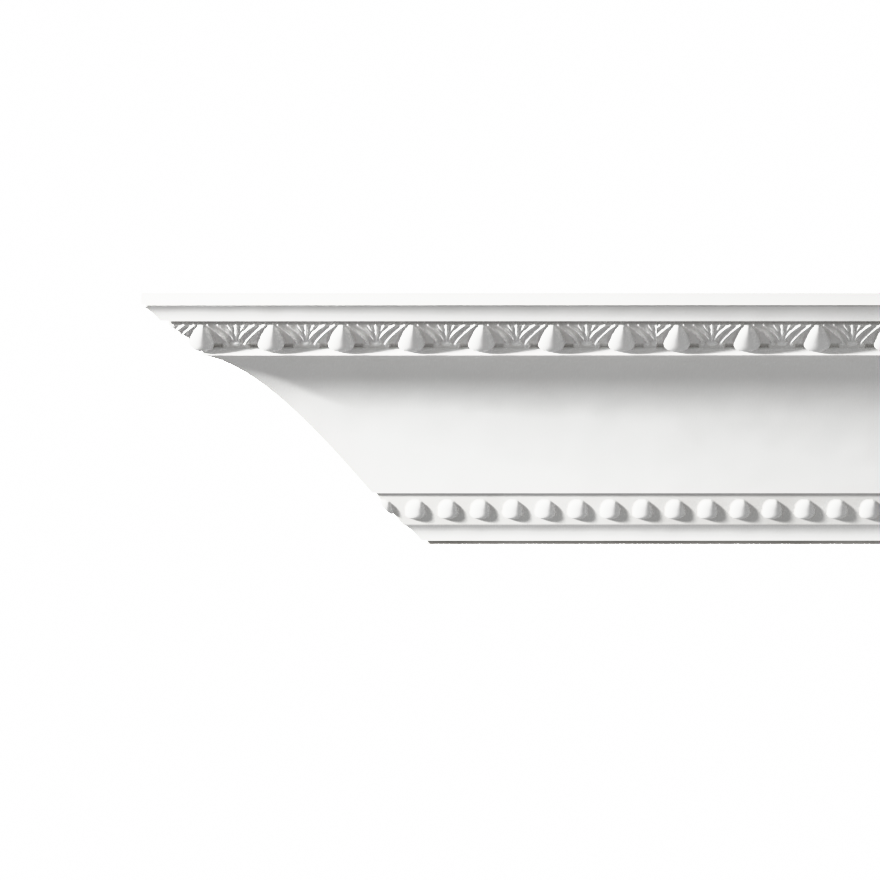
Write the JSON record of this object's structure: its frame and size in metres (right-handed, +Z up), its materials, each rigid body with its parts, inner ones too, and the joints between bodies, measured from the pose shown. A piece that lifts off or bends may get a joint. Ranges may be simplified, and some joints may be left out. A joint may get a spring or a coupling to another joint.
{
  "type": "ceiling moulding",
  "caption": "Cast ceiling moulding with an egg-and-leaf band, a plain cove and a row of beads, mitred at the left end for an outside corner.",
  "frame": {"origin": "middle of the face that lies on the wall", "axes": "+X along the wall from the mitred end to the square end, +Y into the wall, +Z up to the ceiling"},
  "size_m": [0.384, 0.152, 0.13],
  "materials": {
    "white_cast": "matt white primer on a moulded foam casting, bare casting on the back and the cut ends"
  },
  "bodies": {
    "root": {"ceiling_moulding": "white_cast"}
  },
  "joints": []
}
